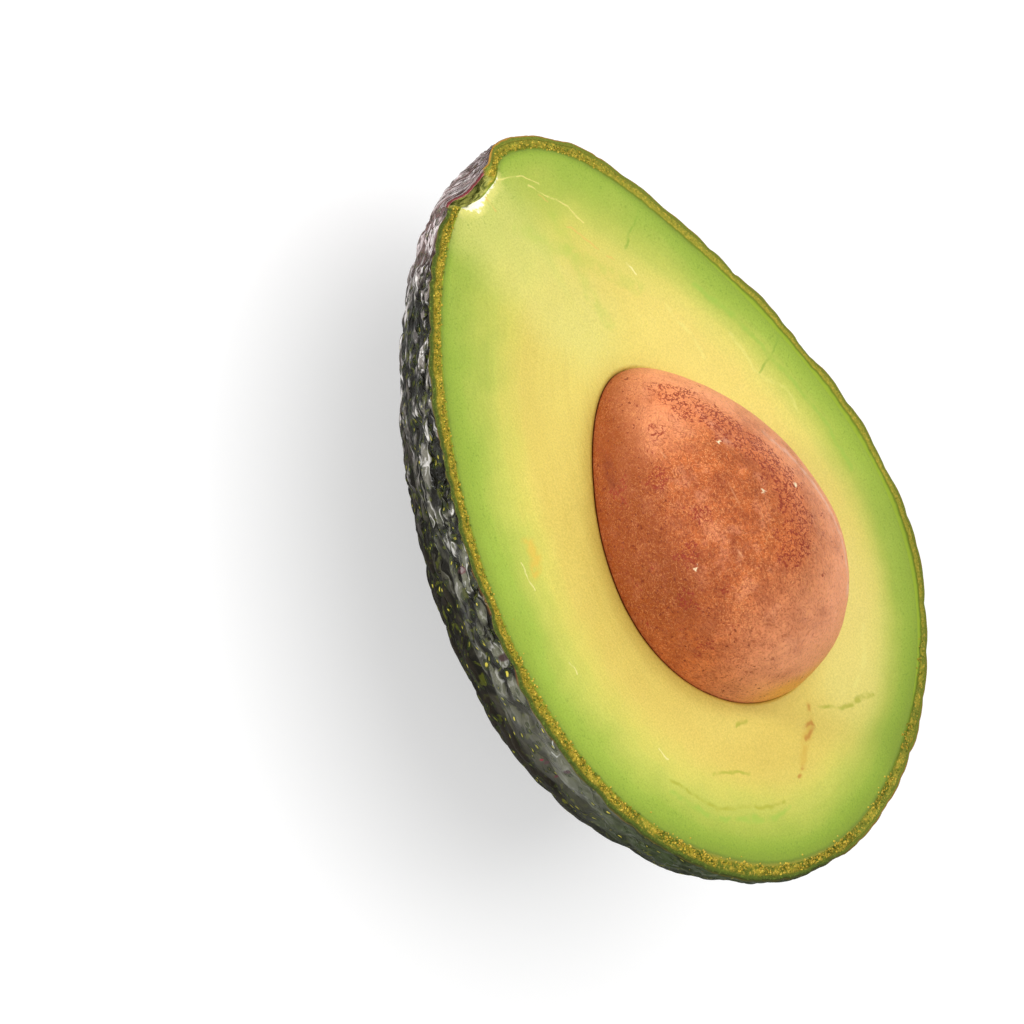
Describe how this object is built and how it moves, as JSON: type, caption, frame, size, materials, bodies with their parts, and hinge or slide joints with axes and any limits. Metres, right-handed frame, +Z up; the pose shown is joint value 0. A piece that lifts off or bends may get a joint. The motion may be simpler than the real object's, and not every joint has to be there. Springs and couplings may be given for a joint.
{
  "type": "avocado half with seed",
  "caption": "Lengthwise half of a ripe avocado lying on its pebbled skin, cut face up, with the round seed still seated in the flesh.",
  "frame": {"origin": "centre of the small flat spot of the skin that the half rests on", "axes": "+Z up, out of the cut face less a tilt of 8 degrees; +X towards the blossom end, so the stem end is at -X; Y across the half"},
  "size_m": [0.1047, 0.0702, 0.0515],
  "materials": {
    "avocado_skin": "dark green to black pebbled peel with a waxy gloss; its cut edge is olive and yellow-green",
    "avocado_flesh": "moist smooth cut flesh, green near the peel and yellow round the seed",
    "avocado_seed": "orange-brown seed coat with a dull sheen and darker mottled veins"
  },
  "bodies": {
    "root": {"skin": "avocado_skin", "flesh": "avocado_flesh", "seed": "avocado_seed"}
  },
  "joints": []
}
